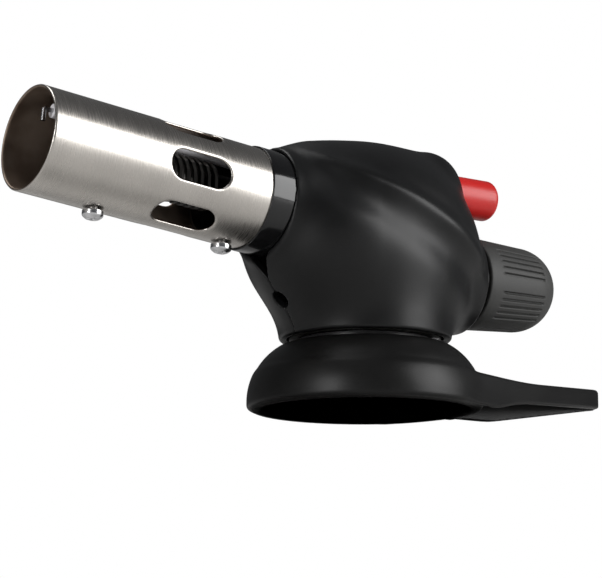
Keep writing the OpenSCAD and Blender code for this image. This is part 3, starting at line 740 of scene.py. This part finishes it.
cup_r = BUTTON_R - 1.4
length = button_face - button_back
outline = rounded([(cup_r, 0, 0.2), (BUTTON_R + 0.9, 0, 0.3), (BUTTON_R + 0.9, 1.5, 0.3),
                   (BUTTON_R, 1.5, 0.3), (BUTTON_R, length, 1.8), (0, length, 0),
                   (0, length - 3.2, 0), (cup_r, length - 3.2, 0.4)], 8)
points, faces = merge_axis(*lathe(spread(outline, 0.9), 128))
points[:, 2] += button_back
obj = make("button_skin", along_x(points, BUTTON_H), faces, [BUTTON_RED], sharp=40)
finish_piece(obj, "button", "button_red", "button")

# ---------- lock ring ----------

lever_turn = math.asin((DISH_R - LEVER_TIP_W / 2) / lever_x)


def lever_top(x):
    """Height of the lever's top face."""
    return soft_max(10.7 - 0.0215 * x, 6.4 + 0.075 * x, 1.2)


def lever_bottom(x):
    """Height of the lever's side walls: low by the dish, then up in an S towards the tip."""
    return soft_max(0.3 + 0 * x, soft_min(0.3 + 0.25 * (x - 30), 0.0767 * x, 1.5), 1.0)


def rib_bottom(x):
    """Height of the rib's lower edge under the lever."""
    return soft_max(0 * x, 0.156 * (x - 48), 0.6)


def ring_field(p):
    x, y, z = p[:, 0], np.abs(p[:, 1]), p[:, 2]
    rho = np.hypot(x, p[:, 1])
    centre = DISH_R - DOME_R
    outer = np.maximum(rho - centre, 0)
    dome = np.where(z > DOME_CZ, np.hypot(outer, z - DOME_CZ) - DOME_R, rho - DISH_R)
    dome = soft_max(dome, z - dish_top, 1.2)
    bowl = soft_max(dome, 1.3 - z, 0.7)
    lip = soft_max(soft_max(rho - DISH_R + 1.5, -z, 0.6), z - 4, 0.1)
    f = soft_min(bowl, lip, 0.5)
    # the lever
    ahead = x * math.cos(lever_turn) - y * math.sin(lever_turn)
    rise = np.clip(z - DOME_CZ, 0, DOME_R)
    dome_side = centre + np.sqrt(DOME_R ** 2 - rise ** 2)
    side = dome_side + (DISH_R - dome_side) * ease(ahead / 34)
    plan = np.where(ahead < 0, rho, x * math.sin(lever_turn) + y * math.cos(lever_turn)) - side
    plan = soft_max(plan, x - lever_x, 1.6)
    lever = soft_max(plan, z - lever_top(x), 1.6)
    lever = soft_max(lever, lever_bottom(x) - z, 0.9)
    hollow = np.maximum(plan + LEVER_WALL, z - lever_top(x) + LEVER_WALL)
    hollow = np.maximum(hollow, DISH_R - 0.6 - rho)
    lever = soft_max(lever, -hollow, 0.6)
    rib = np.maximum(y - LEVER_WALL / 2, np.maximum(rib_bottom(x) - z, z - lever_top(x) + 1))
    rib = np.maximum(rib, np.maximum(SKIRT_R + 1 - x, x - lever_x + 1))
    lever = soft_min(lever, rib, 0.6)
    f = soft_min(f, lever, 1.2)
    # the cavity
    wall = DOME_R - DISH_WALL
    inner = np.where(z > DOME_CZ, np.hypot(outer, z - DOME_CZ) - wall, rho - DISH_R + DISH_WALL)
    inner = np.maximum(inner, rho - SKIRT_R - np.where(z > SKIRT_LEN, SKIRT_RELIEF, 0))
    cavity = soft_max(inner, z - dish_top + CEILING_T, 1.0)
    f = soft_max(f, -cavity, 0.7)
    return soft_max(f, HUB_BORE - rho, 0.5)


cell = 0.5
low = (-DISH_R - 1.3, -DISH_R - 1.3, -1.2)
high = (lever_x + 1.3, DISH_R + 1.3, dish_top + 1.3)
points, faces, normals = net(ring_field, low, high, cell)
obj = make("lock_ring_skin", points, faces, [RING_BLACK], normals=normals)
finish_piece(obj, "lock_ring", "shell_plastic", "lock_ring")

# ---------- camera, floor and light ----------

VIEW_TURN = math.radians(35.9)
VIEW_RISE = math.radians(-10.31)
VIEW_DISTANCE = 648.15
VIEW_TARGET = np.array([-23.5, 0, 34.05])
LENS = 132.71
SENSOR = 36
FLOOR_HALF = 3.0
FLOOR_Z = -0.0006

level = math.cos(VIEW_RISE)
back = np.array([-math.sin(VIEW_TURN) * level, -math.cos(VIEW_TURN) * level, math.sin(VIEW_RISE)])
camera = bpy.data.objects.new("camera", bpy.data.cameras.new("camera"))
bpy.context.scene.collection.objects.link(camera)
camera.data.lens = LENS
camera.data.sensor_width = SENSOR
camera.data.clip_start = 0.01
camera.location = Vector((VIEW_TARGET + back * VIEW_DISTANCE) * MM)
camera.rotation_euler = Vector(-back).to_track_quat("-Z", "Y").to_euler()
bpy.context.scene.camera = camera


def floor():
    """A wide pale floor just under the rim. From below it lets the view through.

    The main view looks up past the rim, so it sees the object from under the floor.
    """
    half, z = FLOOR_HALF, FLOOR_Z
    corners = [(-half, -half, z), (half, -half, z), (half, half, z), (-half, half, z)]
    mesh = bpy.data.meshes.new("floor")
    mesh.from_pydata(corners, [], [(0, 1, 2, 3)])
    obj = bpy.data.objects.new("floor", mesh)
    bpy.context.scene.collection.objects.link(obj)
    m, tree, shader, coords = material("floor", (0.8, 0.795, 0.785), 0.7)
    clear = tree.nodes.new("ShaderNodeBsdfTransparent")
    mix = tree.nodes.new("ShaderNodeMixShader")
    side = tree.nodes.new("ShaderNodeNewGeometry")
    tree.links.new(side.outputs["Backfacing"], mix.inputs["Fac"])
    tree.links.new(shader.outputs["BSDF"], mix.inputs[1])
    tree.links.new(clear.outputs["BSDF"], mix.inputs[2])
    tree.links.new(mix.outputs["Shader"], tree.nodes["Material Output"].inputs["Surface"])
    mesh.materials.append(m)
    return obj


def softbox(name, direction, distance, width, height, strength, colour=(1, 1, 1), aim=(-20, 0, 50)):
    """An area light that looks at the object from a direction."""
    data = bpy.data.lights.new(name, "AREA")
    data.shape = "RECTANGLE"
    data.size = width
    data.size_y = height
    data.energy = strength
    data.color = colour
    obj = bpy.data.objects.new(name, data)
    bpy.context.scene.collection.objects.link(obj)
    d = Vector(direction).normalized()
    obj.location = Vector(aim) * MM + d * distance
    obj.rotation_euler = (-d).to_track_quat("-Z", "Y").to_euler()
    return obj


floor()
softbox("key", (0.57, -0.78, 0.34), 1.1, 0.75, 0.8, 10.5)
softbox("top", (-0.2, 0.25, 1.0), 1.2, 0.9, 0.5, 5)
softbox("left", (-0.95, -0.3, 0.12), 1.3, 0.4, 0.7, 7)

bpy.context.scene.view_settings.view_transform = "Standard"
world = bpy.data.worlds.new("studio")
bpy.context.scene.world = world
world.use_nodes = True
tree = world.node_tree
sky = tree.nodes["Background"]
sky.inputs["Color"].default_value = (0.9, 0.92, 0.95, 1)
sky.inputs["Strength"].default_value = 0.1
bright = tree.nodes.new("ShaderNodeBackground")
bright.inputs["Color"].default_value = (1, 1, 1, 1)
bright.inputs["Strength"].default_value = 1.0
path = tree.nodes.new("ShaderNodeLightPath")
mix = tree.nodes.new("ShaderNodeMixShader")
tree.links.new(path.outputs["Is Camera Ray"], mix.inputs["Fac"])
tree.links.new(sky.outputs["Background"], mix.inputs[1])
tree.links.new(bright.outputs["Background"], mix.inputs[2])
tree.links.new(mix.outputs["Shader"], tree.nodes["World Output"].inputs["Surface"])
